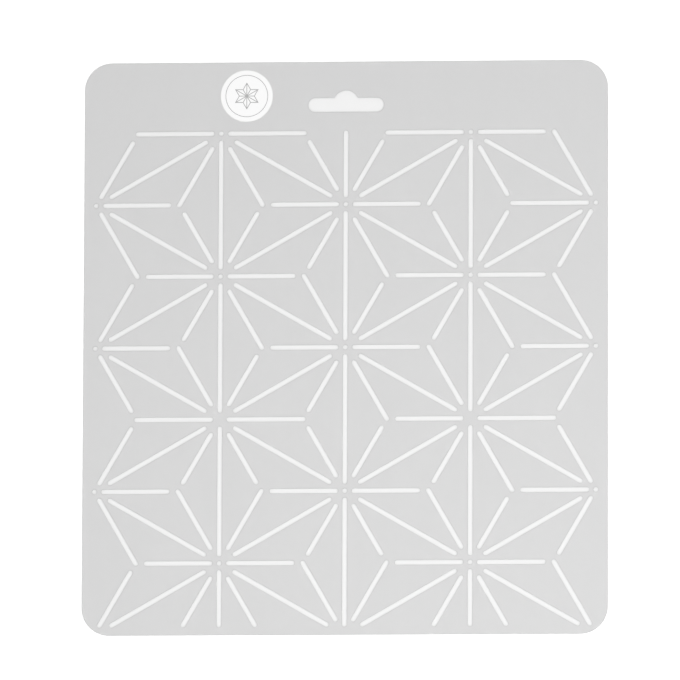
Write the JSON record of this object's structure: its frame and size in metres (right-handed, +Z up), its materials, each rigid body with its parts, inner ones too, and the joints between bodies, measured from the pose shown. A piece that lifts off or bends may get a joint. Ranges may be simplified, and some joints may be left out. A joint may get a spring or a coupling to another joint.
{
  "type": "drawing stencil",
  "caption": "Flat frosted plastic stencil sheet for tracing a hemp-leaf star pattern through narrow routed slots, with rounded corners, a hang slot and a round paper label.",
  "frame": {"origin": "centre of the sheet's outline, on its underside", "axes": "+Z up out of the labelled face, +Y towards the header with the hang slot, +X to the right seen from above"},
  "size_m": [0.2178, 0.24, 0.0005],
  "materials": {
    "frosted_plastic": "milky translucent polypropylene sheet, fine matt embossed on both faces, routed edges",
    "label_adhesive": "clear acrylic label adhesive, seen only as a thin line at the label's rim",
    "label_paper": "white coated label paper, smooth and slightly satin"
  },
  "bodies": {
    "root": {"stencil_sheet": "frosted_plastic", "label_adhesive": "label_adhesive", "label_paper": "label_paper"}
  },
  "joints": []
}
